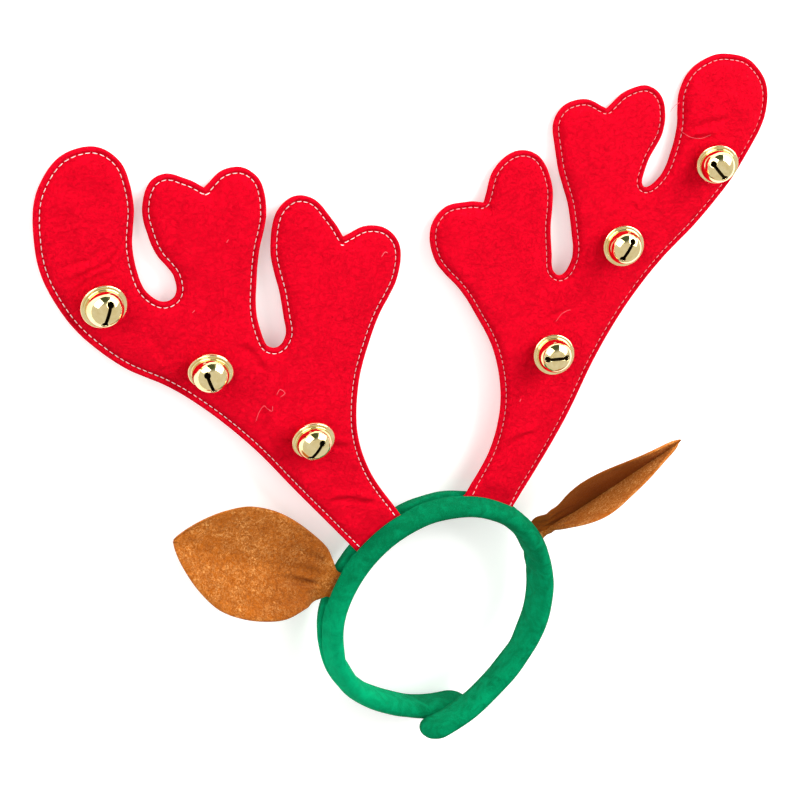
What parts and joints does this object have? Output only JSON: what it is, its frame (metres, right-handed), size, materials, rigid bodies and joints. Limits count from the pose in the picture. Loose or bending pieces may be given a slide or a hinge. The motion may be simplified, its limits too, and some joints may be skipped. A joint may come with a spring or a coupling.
{
  "type": "reindeer antler headband",
  "caption": "Padded plush headband curled into a ring, with flat felt reindeer antlers that carry jingle bells, and leaf-shaped ears sewn into its seam.",
  "frame": {"origin": "centre of the footprint, on the surface that the headband lies on", "axes": "+X to the right as the headband's front is looked at, +Y up the head towards the antlers' tips, +Z out of the antlers' front faces"},
  "size_m": [0.3692, 0.341, 0.049],
  "materials": {
    "green_plush": "short plush",
    "red_felt": "felt",
    "brass": "polished",
    "brown_plush": "glittered short plush"
  },
  "bodies": {
    "root": {"headband": "green_plush", "antler_left": "red_felt", "antler_right": "red_felt", "bell_left_1": "brass", "bell_left_2": "brass", "bell_left_3": "brass", "bell_right_1": "brass", "bell_right_2": "brass", "bell_right_3": "brass", "ear_left": "brown_plush", "ear_right": "brown_plush"}
  },
  "joints": []
}
